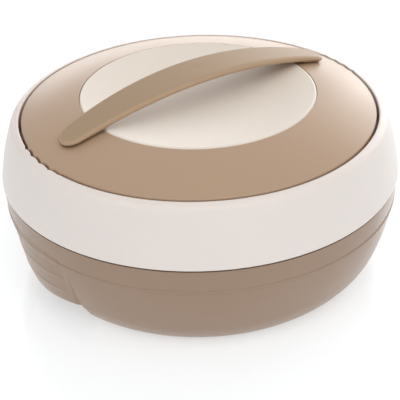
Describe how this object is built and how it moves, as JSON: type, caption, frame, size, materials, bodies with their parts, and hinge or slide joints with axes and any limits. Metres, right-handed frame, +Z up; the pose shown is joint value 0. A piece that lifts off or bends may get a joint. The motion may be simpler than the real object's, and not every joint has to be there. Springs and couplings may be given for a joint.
{
  "type": "insulated casserole",
  "caption": "Round foam-filled casserole with a steel bowl, a pale collar and a lid with a strap handle that lifts straight off.",
  "frame": {"origin": "on the table, under the middle of the base", "axes": "+Z up through the middle of the lid, +X along the handle and through one grip lobe"},
  "size_m": [0.2698, 0.2698, 0.1362],
  "materials": {
    "brown_plastic": "fine satin moulding",
    "pale_plastic": "fine satin moulding",
    "bowl_steel": "spun and polished",
    "screw_steel": "zinc plated",
    "foot_rubber": "matt",
    "seal_rubber": "soft translucent white",
    "foam": "rigid cast foam"
  },
  "bodies": {
    "base": {"base_shell": "brown_plastic", "bottom_cover": "brown_plastic", "cover_screws": "screw_steel", "base_feet": "foot_rubber", "fill_plug": "brown_plastic", "base_foam": "foam", "inner_bowl": "bowl_steel", "bowl_gasket": "seal_rubber", "collar_ring": "pale_plastic"},
    "lid": {"lid_cover": "brown_plastic", "lid_dish": "pale_plastic", "lid_handle": "brown_plastic", "handle_washers": "screw_steel", "handle_screws": "screw_steel", "lid_foam": "foam", "lid_liner": "pale_plastic", "lid_seal": "seal_rubber", "lid_plug": "pale_plastic"}
  },
  "joints": [
    {"name": "lid_lift", "type": "slide", "parent": "base", "child": "lid", "axis": [0, 0, 1], "range_m": [0, 0.12]}
  ]
}
